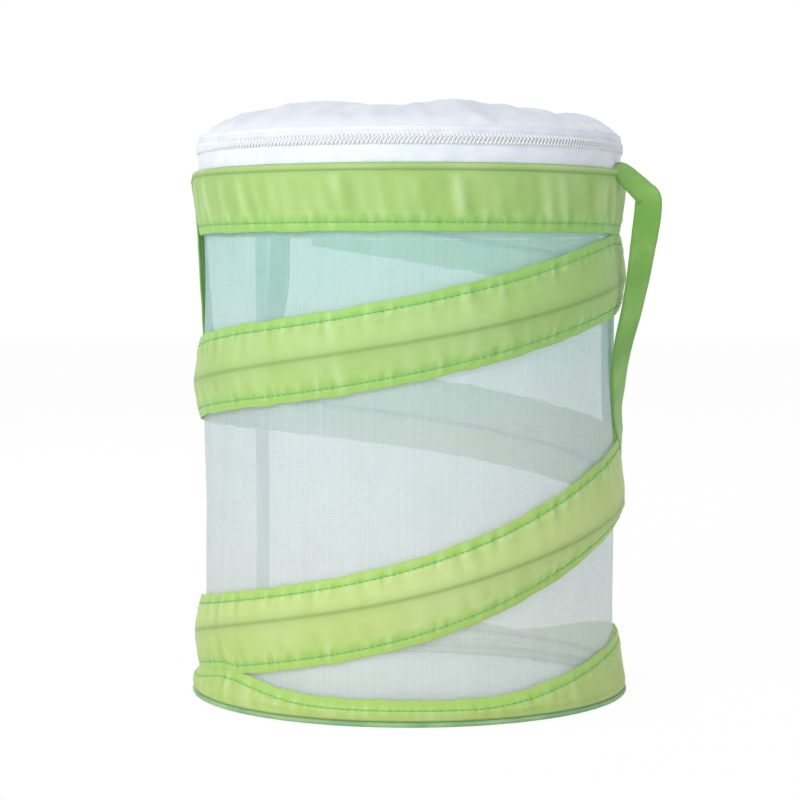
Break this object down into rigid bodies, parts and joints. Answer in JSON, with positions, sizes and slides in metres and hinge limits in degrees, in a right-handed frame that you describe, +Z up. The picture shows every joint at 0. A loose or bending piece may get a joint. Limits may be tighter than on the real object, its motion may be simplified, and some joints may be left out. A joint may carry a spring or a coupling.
{
  "type": "foldable insect cage",
  "caption": "Pop-up cylinder of see-through mesh on a sprung wire spiral in green casing, with a zip-around lid and strap handles; it folds flat.",
  "frame": {"origin": "centre of the floor panel's underside, on the surface that the cage stands on", "axes": "+Z up along the cage's axis, -Y towards the viewer of the picture, +X to their right"},
  "size_m": [0.22, 0.2062, 0.2739],
  "materials": {
    "mesh": "fine white knitted polyester mesh, see-through",
    "lid_voile": "soft white crumpled voile",
    "green_nylon": "translucent lime-green nylon taffeta",
    "strap_webbing": "lime-green nylon, folded and sewn",
    "edge_binding": "blue-green woven binding",
    "seam_tape": "white woven seam tape",
    "zip_tape": "white woven polyester zip tape",
    "zip_coil": "white nylon coil",
    "spring_steel": "dark hardened spring steel",
    "crimp_sleeve": "crimped aluminium",
    "zip_metal": "white enamelled zinc",
    "tip_plastic": "moulded tip"
  },
  "bodies": {
    "base": {"floor_panel": "mesh", "floor_binding": "edge_binding", "bottom_hoop": "spring_steel", "bottom_hoop_ferrule": "crimp_sleeve", "bottom_band": "green_nylon", "spiral_spring": "spring_steel", "spiral_lower_tip": "tip_plastic", "spiral_band": "green_nylon", "mesh_wall": "mesh", "mesh_seam_tape": "seam_tape"},
    "top": {"top_hoop": "spring_steel", "top_hoop_ferrule": "crimp_sleeve", "top_band": "green_nylon", "spiral_upper_tip": "tip_plastic", "zipper_lower_tape": "zip_tape", "zipper_lower_coil": "zip_coil", "zipper_back_tape": "zip_tape", "zipper_back_coil": "zip_coil", "zipper_start_stop": "zip_metal", "zipper_end_stop": "zip_metal", "lid_back_panel": "lid_voile", "right_handle_tabs": "strap_webbing", "left_handle_tabs": "strap_webbing"},
    "lid": {"lid_panel": "lid_voile", "zipper_upper_tape": "zip_tape", "zipper_upper_coil": "zip_coil"},
    "slider": {"slider_body": "zip_metal", "slider_bridge": "zip_metal"},
    "pull": {"pull_tab": "zip_metal"},
    "right_strap": {"right_handle": "strap_webbing"},
    "left_strap": {"left_handle": "strap_webbing"}
  },
  "joints": [
    {"name": "cage_fold", "type": "slide", "parent": "base", "child": "top", "axis": [0, 0, -1], "range_m": [0, 0.209], "stiffness_N_per_m": 15, "springref_m": -0.12, "deforming": ["spiral_spring", "spiral_band", "mesh_wall", "mesh_seam_tape", "top_band"]},
    {"name": "lid_hinge", "type": "hinge", "parent": "top", "child": "lid", "pos_m": [0, 0.088, 0.2636], "axis": [-1, 0, 0], "range_deg": [0, 140]},
    {"name": "zip_slider", "type": "hinge", "parent": "top", "child": "slider", "pos_m": [0, 0, 0.24998], "axis": [0, 0, 1], "range_deg": [0, 326]},
    {"name": "pull_swing", "type": "hinge", "parent": "slider", "child": "pull", "pos_m": [-0.03, 0.09812, 0.24998], "axis": [0, 0, 1], "range_deg": [0, 180]},
    {"name": "right_handle_swing", "type": "hinge", "parent": "top", "child": "right_strap", "pos_m": [0.09717, 0, 0.24218], "axis": [0, -1, 0], "range_deg": [0, 120]},
    {"name": "left_handle_swing", "type": "hinge", "parent": "top", "child": "left_strap", "pos_m": [-0.08329, 0.05005, 0.24218], "axis": [0.515, 0.8572, 0], "range_deg": [0, 120]}
  ]
}
